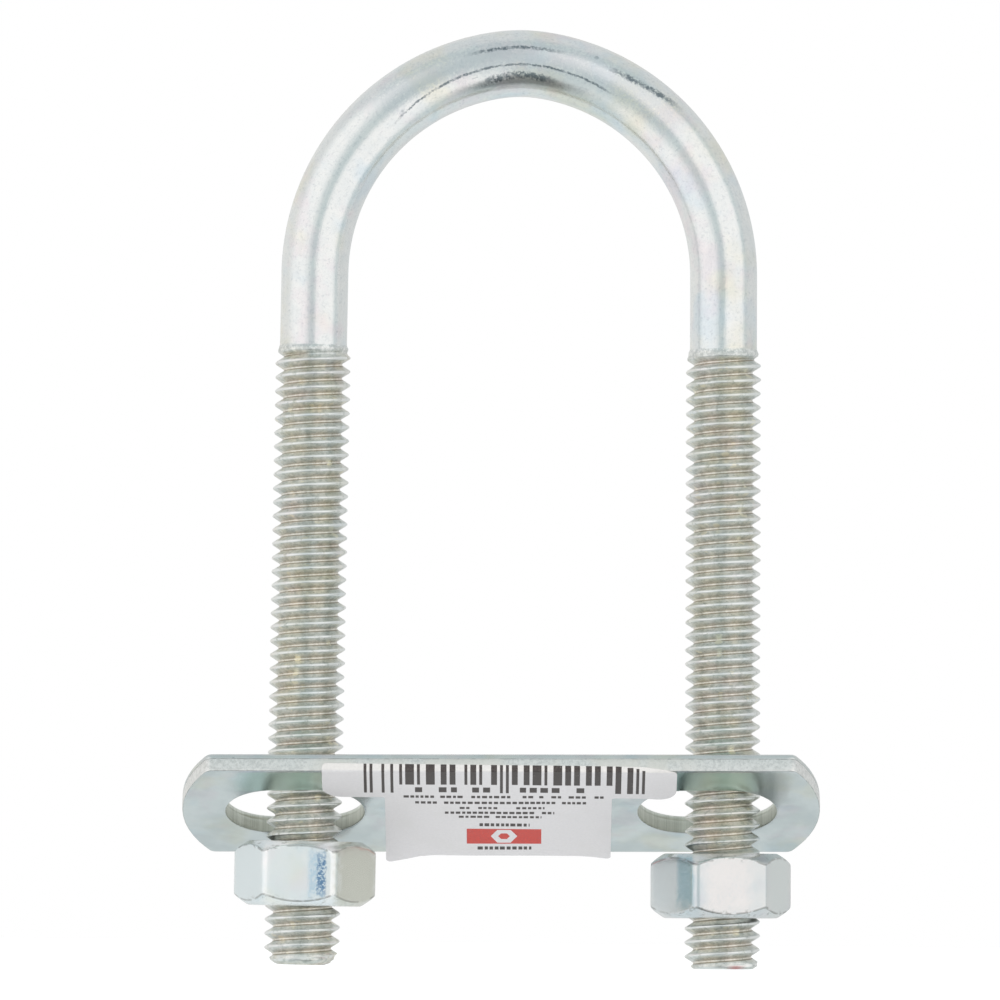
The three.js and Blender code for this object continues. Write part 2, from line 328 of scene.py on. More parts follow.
def build_rod(material):
    points, faces, crests, flanks, rings = [], [], [], [], []
    for leg in LEGS:
        ring, height = add_leg(leg, points, faces, crests, flanks)
        rings.append((ring, leg.side * (ARCH_HALF + LEG_LENGTH - height)))
    (left_ring, start), (right_ring, end) = rings
    steps = round((end - start) / RING_STEP)
    shank_rings = []
    for step in range(1, steps):
        base = len(points)
        points += rod_ring(mix(start, end, step / steps))
        crests += [SHANK_CREST] * ROD_COLUMNS
        flanks += [0] * ROD_COLUMNS
        shank_rings.append(list(range(base, base + ROD_COLUMNS)))
    for low, high in zip(shank_rings, shank_rings[1:]):
        join_rings(faces, low, high)
    join_rings(faces, matching(points, left_ring, shank_rings[0]), shank_rings[0])
    join_rings(faces, shank_rings[-1], matching(points, right_ring, shank_rings[-1]))
    piece = new_piece("rod", points, faces, [material])
    add_attributes(piece, crest=crests, flank=flanks)
    cut_leg_ends(piece)
    add_rod_coordinates(piece)
    return piece


def matching(points, ring, other):
    """The ring's points in the order of the other ring's nearest points."""
    ordered = []
    for vertex in other:
        target = points[vertex]
        ordered.append(min(ring, key=lambda v: (points[v] - target).length))
    if len(set(ordered)) != len(ring):
        raise RuntimeError("the rings do not match one to one")
    return ordered


def shifted(loop):
    """The same closed loop, starting one place later."""
    return loop[1:] + loop[:1]


def join_rings(faces, low, high):
    faces += [list(face) for face in zip(low, shifted(low), shifted(high), high)]


def cut_leg_ends(piece):
    """Cuts each climbing grid level at its leg's end, and closes it with a slightly hollow face."""
    mesh = bmesh.new()
    mesh.from_mesh(piece.data)
    for leg in LEGS:
        own = [v for v in mesh.verts if v.co.x * leg.side > 0]
        near = [v for v in own if leg.local(v.co / MM)[2] < 2 * PITCH]
        edges = {e for v in near for e in v.link_edges}
        around = {f for v in near for f in v.link_faces}
        geom = near + list(edges) + list(around)
        place, away = leg.end * MM, -leg.up
        plane = {"plane_co": place, "plane_no": away, "clear_outer": True}
        cut = bmesh.ops.bisect_plane(mesh, geom=geom, **plane)["geom_cut"]
        rim = [e for e in cut if isinstance(e, bmesh.types.BMEdge)]
        filled = bmesh.ops.holes_fill(mesh, edges=rim, sides=0)["faces"]
        close_end(mesh, max(filled, key=lambda face: face.calc_area()), leg)
    bmesh.ops.recalc_face_normals(mesh, faces=mesh.faces)
    mesh.to_mesh(piece.data)
    mesh.free()


def close_end(mesh, face, leg):
    """Puts shrinking rings and a middle point in place of the one face across a leg's end."""
    outer = list(face.verts)
    mesh.faces.remove(face)
    rim = [v.co.copy() for v in outer]
    middle = leg.end * MM
    for share in END_RINGS:
        inner = []
        for place in rim:
            point = middle + share * (place - middle)
            hollow = 0.08 * (1 - share) + 0.03 * (1 + grain(point / MM, 0.7, leg.side * 5))
            inner.append(mesh.verts.new(point + hollow * MM * leg.up))
        for i, v in enumerate(outer):
            mesh.faces.new((outer[i - 1], v, inner[i], inner[i - 1])).smooth = True
        outer = inner
    top = mesh.verts.new(middle + 0.1 * MM * leg.up)
    for i, v in enumerate(outer):
        mesh.faces.new((outer[i - 1], v, top)).smooth = True


def add_rod_coordinates(piece):
    """Stores each point's distance along the rod from the crown and its place round the rod."""
    along, outward, backward, end_paint = [], [], [], []
    for v in piece.data.vertices:
        x, y, z = v.co / MM
        leg = LEGS[0] if x < 0 else LEGS[1]
        leg_x, leg_y, height = leg.local(v.co / MM)
        reach = abs(x) - (LEG_X - SIDE_BEND_RADIUS)
        angle = atan2(reach, z)
        if height < LEG_LENGTH:
            distance = ARCH_HALF + LEG_LENGTH - height
            out = leg_x * leg.side
        elif angle > CROWN_HALF_ANGLE:
            distance = CROWN_ARC + (angle - CROWN_HALF_ANGLE) * SIDE_BEND_RADIUS
            out = hypot(reach, z) - SIDE_BEND_RADIUS
        else:
            distance = atan2(abs(x), z - CROWN_CENTRE) * CROWN_BEND_RADIUS
            out = hypot(x, z - CROWN_CENTRE) - CROWN_BEND_RADIUS
        along.append(leg.side * distance)
        outward.append(out / SHANK_RADIUS)
        backward.append(y / SHANK_RADIUS)
        painted = leg.side > 0 and leg_y < 0
        end_paint.append(bell(leg_x, 1.3, 1.2) * ramp(0.45 - height, 0, 0.2) if painted else 0)
    add_attributes(piece, along=along, outward=outward, backward=backward, end_paint=end_paint)


# ---- nuts


def hexagon_radius(angle):
    """The distance from the axis to the rounded hexagon. Angle 0 is at the middle of a flat."""
    sector = radians(60)
    local = (angle + sector / 2) % sector - sector / 2
    flat_end = (NUT_FLAT - NUT_CORNER_ROUND) * tan(sector / 2)
    if abs(NUT_FLAT * tan(local)) <= flat_end:
        return NUT_FLAT / cos(local)
    centre = (NUT_FLAT - NUT_CORNER_ROUND) / cos(sector / 2)
    off = sector / 2 - abs(local)
    return centre * cos(off) + sqrt(NUT_CORNER_ROUND**2 - (centre * sin(off)) ** 2)


def nut_columns():
    """Angles from the middle of a flat, closer together near the corners."""
    shares = [(step / 20 - 0.5) * 2 for step in range(20)]
    bent = [copysign(1 - (1 - abs(share)) ** 1.25, share) for share in shares]
    return [radians(60) * (face + place / 2) for face in range(6) for place in bent]


def nut_thread_radius(angle, height, crest_height):
    share = (height - crest_height) / PITCH - angle / TAU
    across = abs(((share + 0.5) % 1) - 0.5) * 2
    reach = (NUT_GROOVE_RADIUS - NUT_BORE_RADIUS) / (CREST_RADIUS - ROOT_RADIUS)
    return mix(NUT_GROOVE_RADIUS, NUT_BORE_RADIUS, min(1, across / reach))


def chamfer_height(radius):
    """The rounded chamfer's height above the nut's face, at a distance from the axis."""
    share = (radius - NUT_FACE_RADIUS) / 1.6
    return share + 0.22 * share**3


# how worn each ring of a nut's profile is, and how close to the edge
NUT_WEAR = (0, 0, 0, 0, 0.01, 0.02, 0.025, 0.03, 0.03, 0.03, 0.015, 0, 0, 0)
NUT_EDGE = (0, 0, 0, 0, 0.2, 0.2, 0.1, 0.3, 1, 1, 0.4, 0, 0, 0)


def nut_profile(limit):
    """Rings up the outside from the bore's mouth towards the middle of the sides, each a distance
    from the axis and a height, where the hexagon's radius is limit."""

    def chamfer(share, lift=0):
        radius = mix(NUT_FACE_RADIUS, limit, share)
        return radius, chamfer_height(radius) + lift

    face = [(NUT_MOUTH_RADIUS - 0.12, 0.08), (NUT_MOUTH_RADIUS + 0.05, 0)]
    face += [(NUT_MOUTH_RADIUS + 0.5, 0), (NUT_FACE_RADIUS - 0.3, 0), (NUT_FACE_RADIUS - 0.05, 0.01)]
    slope = [chamfer(0.15), chamfer(0.5), chamfer(0.85), chamfer(0.965, 0.01), chamfer(0.995, 0.07)]
    low = chamfer_height(limit)
    return face + slope + [(limit, mix(low, NUT_HEIGHT / 2, share)) for share in (0.09, 0.2, 0.5, 0.8)]


def build_nut(leg, material):
    columns = nut_columns()
    profiles = [nut_profile(hexagon_radius(column)) for column in columns]
    # the turn is a corner's angle; the middle of a flat is half a sector further
    flat_turn = leg.nut_turn + radians(30)
    bottom = (leg.nut_place - leg.end).dot(leg.up)
    crest_height = (ceil(bottom / PITCH - leg.thread_phase) + leg.thread_phase) * PITCH - bottom
    seed = 20 if leg.side < 0 else 40
    points, local_places, wear, edge, rings = [], [], [], [], []

    def add_ring(places, worn=0, near_edge=0):
        """One ring of points from the (distance from the axis, height) at each column."""
        rings.append(list(range(len(points), len(points) + len(columns))))
        for column, (radius, height) in zip(columns, places):
            angle = column + flat_turn
            x, y = radius * cos(angle), radius * sin(angle)
            dent = worn * (0.5 + 0.5 * grain((x, y, height), 0.9, seed))
            dent += worn * max(0, grain((x, y, height), 0.45, seed + 30) - 0.25) * 2.5
            shrink = 1 - dent / radius
            x, y = x * shrink, y * shrink
            points.append(leg.nut_place + x * leg.across + Vector((0, y, 0)) + height * leg.up)
            local_places.append((x, y, height))
            wear.append(min(1, worn / max(NUT_WEAR)))
            edge.append(near_edge)

    outside = list(enumerate(zip(NUT_WEAR, NUT_EDGE)))
    for number, (worn, near_edge) in outside:
        add_ring([profile[number] for profile in profiles], worn, near_edge)
    add_ring([(hexagon_radius(column), NUT_HEIGHT / 2) for column in columns])
    for number, (worn, near_edge) in reversed(outside):
        flipped = [(profile[number][0], NUT_HEIGHT - profile[number][1]) for profile in profiles]
        add_ring(flipped, worn, near_edge)

    # the threaded bore, from the top mouth down
    rows = ceil(NUT_HEIGHT / PITCH * 9)
    for row in range(1, rows):
        height = NUT_HEIGHT * (1 - row / rows)
        near_end = min(height, NUT_HEIGHT - height)
        bore = [nut_thread_radius(column + flat_turn, height, crest_height) for column in columns]
        if near_end < NUT_MOUTH_RADIUS - NUT_BORE_RADIUS:
            bore = [max(radius, NUT_MOUTH_RADIUS - 0.1 - near_end) for radius in bore]
        add_ring([(radius, height) for radius in bore])
    faces = []
    for low, high in zip(rings, shifted(rings)):
        join_rings(faces, low, high)
    piece = new_piece("hex_nut_" + leg.name, points, faces, [material])
    nut_x, nut_y, nut_z = zip(*local_places)
    add_attributes(piece, wear=wear, edge=edge, nut_x=nut_x, nut_y=nut_y, nut_z=nut_z)
    tidy_mesh(piece, 50)
    return piece


# ---- plate
ACROSS = Vector((PLATE_UP.z, 0, -PLATE_UP.x)).normalized()
AWAY = PLATE_UP.cross(ACROSS).normalized()
PLATE_ORIGIN = PLATE_PLACE - PLATE_THICKNESS * PLATE_UP


def from_plate(x, y, z):
    """A point given along the plate's length, across its width and up from its underside."""
    return PLATE_ORIGIN + x * ACROSS + y * AWAY + z * PLATE_UP


def rounded_loop(corners, radius, spacing):
    """A closed outline through (x, y) corners, with the sharp ones rounded."""
    loop = []
    for i, corner in enumerate(corners):
        here = Vector(corner)
        before = (Vector(corners[i - 1]) - here).normalized()
        after = (Vector(corners[(i + 1) % len(corners)]) - here).normalized()
        half = acos(max(-1, min(1, before.dot(after)))) / 2
        reach = radius / tan(half)
        if reach < 0.05:
            loop.append(here)
            continue
        start, end = here + before * reach, here + after * reach
        for share in [step / 5 for step in range(6)]:
            rest = 1 - share
            loop.append(rest**2 * start + 2 * share * rest * here + share**2 * end)
    return resample(loop, spacing)


def resample(loop, spacing):
    """The same closed loop with points about a spacing apart on its long sides."""
    result = []
    for point, following in zip(loop, shifted(loop)):
        pieces = max(1, round((following - point).length / spacing))
        for step in range(pieces):
            result.append(point.lerp(following, step / pieces))
    return result


def plate_loop():
    bulge = (PLATE_LENGTH - PLATE_EDGE_LENGTH) / 2
    half = PLATE_WIDTH / 2
    radius = (half * half + bulge * bulge) / (2 * bulge)
    centre = PLATE_LENGTH / 2 - radius
    reach = asin(half / radius)
    corners = []
    for side in (1, -1):
        for step in range(25):
            angle = side * reach * (step / 12 - 1)
            corners.append((side * (centre + radius * cos(angle)), radius * sin(angle)))
    return rounded_loop(corners, 0.9, 0.5)


def slot_loop(centre):
    radius = SLOT_WIDTH / 2
    half = SLOT_LENGTH / 2 - radius
    loop = []
    for side in (1, -1):
        for step in range(25):
            angle = pi / 2 * (step / 12 - side)
            x = centre + side * half + radius * cos(angle)
            loop.append(Vector((x, radius * sin(angle))))
    return resample(loop, 0.5)


def loop_normals(loop):
    """The directions outward from a loop that runs anticlockwise."""
    normals = []
    for i, after in enumerate(shifted(loop)):
        along = after - loop[i - 1]
        normals.append(Vector((along.y, -along.x)).normalized())
    return normals


# Stations of the plate's cut edge: distance in from the outline, depth below the top, and how much the
# torn metal wanders there. In OUTER_EDGE the second is the height above the underside.
ROLLED_AND_TORN = (
    (0.7, 0, 0),
    (0.42, 0.012, 0),
    (0.25, 0.05, 0),
    (0.12, 0.14, 0),
    (0.05, 0.3, 0),
    (0.03, 0.45, 0.005),
    (0.03, 0.58, 0.015),
    (0.06, 0.64, 0.03),
    (0.02, 0.72, 0.03),
    (0.01, 1.1, 0.025),
    (0.01, 1.5, 0.025),
)
OUTER_EDGE = (
    *[(inset, PLATE_THICKNESS - drop, wander) for inset, drop, wander in ROLLED_AND_TORN],
    (0.01, 0.14, 0.02),
    (0.03, 0.05, 0.01),
    (0.07, 0.01, 0.005),
    (0.12, 0, 0),
    (0.4, 0, 0),
)
TORN_HEIGHT = PLATE_THICKNESS - 0.62


def build_plate(material):
    points, flat, torn, slot, faces, top_rings, bottom_rings = [], [], [], [], [], [], []
    loops = [plate_loop(), slot_loop(-SLOT_SPACING / 2), slot_loop(SLOT_SPACING / 2)]
    for number, loop in enumerate(loops):
        direction = -1 if number else 1
        rings = []
        for inset, height, wander in OUTER_EDGE:
            rings.append(list(range(len(points), len(points) + len(loop))))
            for point, normal in zip(loop, loop_normals(loop)):
                rough = wander * grain((point.x, point.y, height * 3), 0.55, 11 * number)
                place = point - normal * direction * (inset - rough)
                lift = 0.6 * rough if 0.5 < height < 1.4 else 0
                points.append(from_plate(place.x, place.y, height + lift))
                flat.append(place)
                torn.append(ramp(TORN_HEIGHT - height, -0.02, 0.06) * ramp(wander, 0, 0.01))
                slot.append(float(number > 0 and 0 < height < PLATE_THICKNESS))
        for low, high in zip(rings, rings[1:]):
            join_rings(faces, low, high)
        top_rings.append(rings[0])
        bottom_rings.append(rings[-1])
    edge_faces = len(faces)
    faces += fill_between(flat, top_rings) + fill_between(flat, bottom_rings)
    piece = new_piece("strap_plate", points, faces, [material])
    plate_x, plate_y = zip(*flat)
    add_attributes(piece, torn=torn, slot=slot, plate_x=plate_x, plate_y=plate_y)
    tidy_mesh(piece, 38)
    for face in piece.data.polygons[edge_faces:]:
        face.use_smooth = False
    return piece


def fill_between(flat, rings):
    """Triangles between an outer ring and the rings of its holes."""
    used = [v for ring in rings for v in ring]
    numbers = {v: i for i, v in enumerate(used)}
    edges = [(numbers[a], numbers[b]) for ring in rings for a, b in zip(ring, shifted(ring))]
    places = [flat[v] for v in used]
    _, _, triangles, origins, _, _ = delaunay_2d_cdt(places, edges, [], 1, 1e-6, True)
    holes = [[flat[v] for v in ring] for ring in rings[1:]]
    result = []
    for triangle in triangles:
        corners = [used[origins[v][0]] for v in triangle]
        middle = sum((flat[v] for v in corners), Vector((0, 0))) / 3
        if not any(inside(middle, hole) for hole in holes):
            result.append(corners)
    return result


def inside(point, loop):
    hit = False
    for i, a in enumerate(loop):
        b = loop[i - 1]
        if (a.y > point.y) != (b.y > point.y):
            if point.x < (b.x - a.x) * (point.y - a.y) / (b.y - a.y) + a.x:
                hit = not hit
    return hit


# ---- label
# A label shape's points are (x, reach): x along the plate from its middle, and reach the distance
# from the plate's lower front edge, which is negative up the front edge.


def rectangle(left, low, right, high):
    return [Vector(p) for p in ((left, low), (right, low), (right, high), (left, high))]


def label_outline():
    points = [Vector(p) for p in ((-17.45, -0.66), (8, -0.66), (14.3, -0.6), (16.8, -0.24))]
    corner = 2
    for x, reach, radius, start, end, count in (
        (LABEL_RIGHT - 0.5, 0.5, 0.5, -70, 0, 4),
        (LABEL_RIGHT - corner, LABEL_REACH - corner, corner, 0, 90, 8),
        (LABEL_STEM_RIGHT + 0.3, LABEL_REACH + 0.3, 0.3, 270, 180, 3),
        (LABEL_STEM_RIGHT - 0.5, LABEL_END - 0.5, 0.5, 0, 90, 4),
        (LABEL_STEM_LEFT + 0.6, LABEL_END - 0.6, 0.6, 90, 180, 4),
        (LABEL_STEM_LEFT - 0.3, LABEL_REACH + 0.3, 0.3, 0, -90, 3),
        (LABEL_LEFT + corner, LABEL_REACH - corner, corner, 90, 180, 8),
        (LABEL_LEFT + 0.5, -0.16, 0.5, 180, 265, 4),
    ):
        for step in range(count + 1):
            angle = radians(mix(start, end, step / count))
            points.append(Vector((x + radius * cos(angle), reach + radius * sin(angle))))
    return points


def bar_shapes():
    """Upright bars of random widths. As on a shop's barcode, the end bars and the two in the middle
    are longer."""
    rng = random.Random(37)
    # bars and the gaps between them, in turn, starting with a bar
    runs = [1, 1, 1]
    for after in ([1, 1, 1, 1, 1], [1, 1, 1]):
        for _ in range(6):
            widths = [1, 1, 1, 1]
            for _ in range(3):
                widths[rng.randrange(4)] += 1
            runs += widths
        runs += after
    unit = (BARS_RIGHT - BARS_LEFT) / sum(runs)
    total_bars = (len(runs) + 1) // 2
    long_bars = {0, 1, 2, 3, 14, 15, *range(total_bars - 4, total_bars)}
    shapes = []
    position = 0
    for number, width in enumerate(runs):
        left = BARS_LEFT + position * unit
        position += width
        if number % 2 == 0:
            worn_top = max(0, left - 10.5) * 0.17 * rng.uniform(0.7, 1.1)
            bottom = LONG_BAR_END if number // 2 in long_bars else SHORT_BAR_END
            shapes.append(rectangle(left, worn_top - 0.8, left + width * unit, bottom))
    return shapes


def greek_line(rng, left, right, low, high, block=(0.3, 0.55), gap=(0.13, 0.2)):
    """A row of small blocks that stands for a line of small print."""
    shapes = []
    position = left
    while position < right:
        width = rng.uniform(*block)
        if rng.random() < 0.9:
            shapes.append(rectangle(position, low, min(position + width, right), high))
        position += width + rng.uniform(*gap)
    return shapes


def print_shapes():
    rng = random.Random(5)
    shapes = []
    for left, right in ((-8.7, -7.9), (-6.3, -1), (0.8, 6.1), (7.6, 8.4)):
        shapes += greek_line(rng, left, right, 3.65, 4.8, (0.6, 0.8), (0.35, 0.45))
    for line in PRINT_LINES:
        shapes += greek_line(rng, *line)
    return shapes


def hexagon(radius, squash=1.25):
    x, reach = MARK_CENTRE
    angles = [radians(60 * step) for step in range(6)]
    return [Vector((x + radius * cos(a), reach + squash * radius * sin(a))) for a in angles]


def cut_at_rows(loop):
    """The same loop with points where its edges cross the rows that the label bends at."""
    rows = [0.06 * step for step in range(-13, 9)] + [0.55 * step for step in range(1, 37)]
    result = []
    for point, following in zip(loop, shifted(loop)):
        low, high = sorted((point.y, following.y))
        result.append(point)
        between = [row for row in rows if low + 0.01 < row < high - 0.01]
        for row in between if following.y > point.y else reversed(between):
            result.append(point.lerp(following, (row - point.y) / (following.y - point.y)))
    return result


def label_lift(x, reach):
    """How far the paper stands off the plate's underside."""
    past_strip = ramp(reach, 14.5, LABEL_END)
    lift = 0.1 * past_strip
    lift += 0.8 * ramp(-x, 7, 12) * past_strip
    lift += 0.35 * ramp(x, 8, 12) * past_strip
    lift += 0.2 * ramp(x, LABEL_RIGHT - 4, LABEL_RIGHT) * ramp(reach, 2.5, LABEL_REACH)
    ripple = noise.noise(Vector((x / 5, reach / 5, 2)))
    return lift + 0.035 * (1 + ripple) * ramp(reach, 0.3, 1.2)


def fold_label(x, reach):
    """Where a point of the flat label lies in the plate's axes, and which way its print faces."""
    reach += LABEL_SKEW * x
    near = -PLATE_WIDTH / 2
    out = LABEL_GAP + LABEL_THICKNESS
    quarter = LABEL_FOLD * pi / 2
    start = -quarter / 2
    if reach < start:
        return Vector((x, near - out, LABEL_FOLD - out + start - reach)), Vector((0, -1, 0))
    if reach < start + quarter:
        angle = (reach - start) / LABEL_FOLD
        y = near - out + LABEL_FOLD * (1 - cos(angle))
        z = LABEL_FOLD * (1 - sin(angle)) - out
        return Vector((x, y, z)), Vector((0, -cos(angle), -sin(angle)))
    y = near - out + LABEL_FOLD + reach - start - quarter
    return Vector((x, y, -out - label_lift(x, reach))), Vector((0, 0, -1))


def build_label(paper, dark_ink, red_ink):
    outline = resample(label_outline(), 1.5)
    # the mark is generic: a red bar, and a hexagon nut cut out of it
    mark = [[rectangle(*MARK_BAR)], [hexagon(1.35)], [hexagon(0.6)]]
    kinds = [[outline], bar_shapes() + print_shapes(), *mark]
    shapes = [(cut_at_rows(shape), kind) for kind, group in enumerate(kinds) for shape in group]
    places, loops = [], []
    for shape, _ in shapes:
        loops.append(list(range(len(places), len(places) + len(shape))))
        places += shape
    places += grid_points(outline)
    out_places, _, triangles, _, _, owners = delaunay_2d_cdt(places, [], loops, 1, 1e-5, True)
    # which ink each kind of shape leaves showing, where kinds lie on top of each other
    ink_of_kind = (0, 1, 2, 0, 2)
    faces, slots, used = [], [], {}
    for triangle, owner in zip(triangles, owners):
        present = {shapes[number][1] for number in owner}
        if 0 in present:
            faces.append([used.setdefault(v, len(used)) for v in triangle])
            slots.append(ink_of_kind[max(present)])
    front, back, reaches = [], [], []
    for v in used:
        x, reach = out_places[v]
        place, facing = fold_label(x, reach)
        front.append(from_plate(*place))
        back.append(from_plate(*(place - facing * LABEL_THICKNESS)))
        reaches.append(reach)
    count = len(front)
    directed = {pair for face in faces for pair in zip(face, shifted(face))}
    all_faces = faces + [[v + count for v in reversed(face)] for face in faces]
    rim = [[b, a, a + count, b + count] for a, b in sorted(directed) if (b, a) not in directed]
    all_slots = slots + [0] * (len(faces) + len(rim))
    materials = [paper, dark_ink, red_ink]
    piece = new_piece("barcode_label", front + back, all_faces + rim, materials, all_slots)
    add_attributes(piece, reach=reaches + reaches)
    tidy_mesh(piece, 50)
    return piece


def grid_points(outline):
    """Inner points that let the flat label bend."""
    rows = [0.06 * step + 0.011 for step in range(-9, 9)]
    rows += [0.55 * step + 0.011 for step in range(1, 36)]
    points = []
    for reach in rows:
        for column in range(-30, 31):
            place = Vector((column * 0.6 + 0.07, reach))
            if inside(place, outline):
                points.append(place)
    return points


# ---- materials


class Nodes:
    """Short calls for making the shader nodes of a material or of the world."""

    def __init__(self, owner, output="OutputMaterial", shader="BsdfPrincipled", place="Object"):
        owner.use_nodes = True
        self.owner = owner
        self.tree = owner.node_tree
        self.tree.nodes.clear()
        self.shader = self.new(shader)
        self.link(self.shader.outputs[0], self.new(output).inputs[0])
        self.place = self.new("TexCoord").outputs[place]

    def new(self, kind, inputs=()):
        return self.fill(self.tree.nodes.new("ShaderNode" + kind), inputs)

    def fill(self, node, inputs):
        for name, value in dict(inputs).items():
            self.feed(node.inputs[name], value)
        return node

    def link(self, source, target):
        self.tree.links.new(source, target)

    def feed(self, target, value):
        """Links an output to an input, or sets it to a number or an opaque colour."""
        if isinstance(value, (int, float)):
            target.default_value = value
        elif isinstance(value, tuple):
            target.default_value = (*value, 1)
        else:
            self.link(value, target)

    def math(self, operation, a, b=0):
        node = self.new("Math", {0: a, 1: b})
        node.operation = operation
        return node.outputs[0]

    def times(self, first, *factors):
        for factor in factors:
            first = self.math("MULTIPLY", first, factor)
        return first

    def size(self, value):
        return self.math("ABSOLUTE", value)

    def plus(self, a, b):
        return self.math("ADD", a, b)

    def minus(self, a, b):
        return self.math("SUBTRACT", a, b)

    def attributes(self, *names):
        nodes = [self.new("Attribute") for _ in names]
        for node, name in zip(nodes, names):
            node.attribute_name = name
        return [node.outputs["Fac"] for node in nodes]

    def step(self, value, low, high, low_out=0, high_out=1):
        inputs = {"From Min": low, "From Max": high, "To Min": low_out, "To Max": high_out}
        node = self.new("MapRange", inputs)
        node.interpolation_type = "SMOOTHSTEP"
        self.feed(node.inputs["Value"], value)
        return node.outputs[0]

    def noise(self, size, detail=4, rough=0.6, place=None, seed=0):
        """Noise from 0 to 1 whose spots are about size mm across."""
        node = self.new("TexNoise")
        node.noise_dimensions = "4D"
        scale = 1 / size if place else 1 / (size * MM)
        inputs = {"Vector": place or self.place, "W": seed, "Scale": scale}
        return self.fill(node, {"Detail": detail, "Roughness": rough, **inputs}).outputs["Fac"]

    def cells(self, size, seed):
        """The distance from the middle of a cell of about size mm, as a share of the size."""
        node = self.new("TexVoronoi")
        node.voronoi_dimensions = "4D"
        inputs = {"Vector": self.place, "W": seed, "Scale": 1 / (size * MM)}
        return self.fill(node, inputs).outputs["Distance"]

    def spots(self, low, high, size, detail=4, rough=0.6, place=None, seed=0, most=1):
        """Spots of noise: 0 where it is below low, and most where it is above high."""
        return self.step(self.noise(size, detail, rough, place, seed), low, high, 0, most)

    def vector(self, x, y, z):
        return self.new("CombineXYZ", {0: x, 1: y, 2: z}).outputs[0]

    def blend(self, share, a, b, mode="MIX"):
        node = self.new("Mix")
        node.data_type = "RGBA"
        node.blend_type = mode
        return self.fill(node, {"Factor": share, 6: a, 7: b}).outputs[2]

    def paint(self, colour, tint, *masks):
        """The colour with a tint over it where all the masks let it through."""
        return self.blend(self.times(*masks), colour, tint)

    def bump(self, height, depth, before=None):
        """depth is the height in mm of a full step of the pattern."""
        node = self.new("Bump", {"Strength": 1, "Distance": depth * MM, "Height": height})
        if before:
            self.link(before, node.inputs["Normal"])
        return node.outputs[0]

    def finish(self, colour, roughness, normal=None, metallic=1):
        inputs = {"Base Color": colour, "Roughness": roughness, "Metallic": metallic}
        if normal:
            inputs["Normal"] = normal
        self.fill(self.shader, inputs)
        return self.owner


FILM_TINTS = (((1, 0.965, 0.87), 6), ((0.9, 0.955, 1), 4.5), ((1, 0.94, 0.965), 3.2))


def zinc_tint(n, colour, seed, amount=1):
    """Faint patches of the colours that a clear chromate film shows on zinc."""
    for number, (tint, size) in enumerate(FILM_TINTS):
        patch = n.spots(0.5, 0.68, size, 3, 0.5, seed=seed + 7.3 * number, most=amount)
        colour = n.blend(patch, colour, n.blend(1, colour, tint, "MULTIPLY"))
    return colour


def reflection_streak(n, along, outward, jag, origin, middle, bend, start, end, half):
    """A jagged band of painted reflection along the rod, from 0 to 1. Its middle line is middle + bend
    * distance squared, as a share of the rod's radius, with the distance in mm from origin."""
    away = n.minus(along, origin)
    line = n.plus(n.times(away, away, bend), middle)
    off = n.size(n.minus(outward, line))
    off = n.plus(off, n.times(jag, 1.6 * half))
    ends = n.times(n.step(along, start - 1.8, start + 1.2), n.step(along, end + 1.8, end - 1.2))
    return n.times(n.step(off, 1.6 * half, 0.75 * half), ends)


# origin, middle, bend, start, end, half width of each painted dark reflection on the front of the bend
REFLECTION_STREAKS = (
    (0, -0.1, -0.0012, -14, 9, 0.035),
    (0, 0.41, 0, -4, 3, 0.05),
    (8, 0.43, 0.0046, 9.5, 15, 0.08),
    (0, -0.42, -0.005, -4, 3.2, 0.1),
)


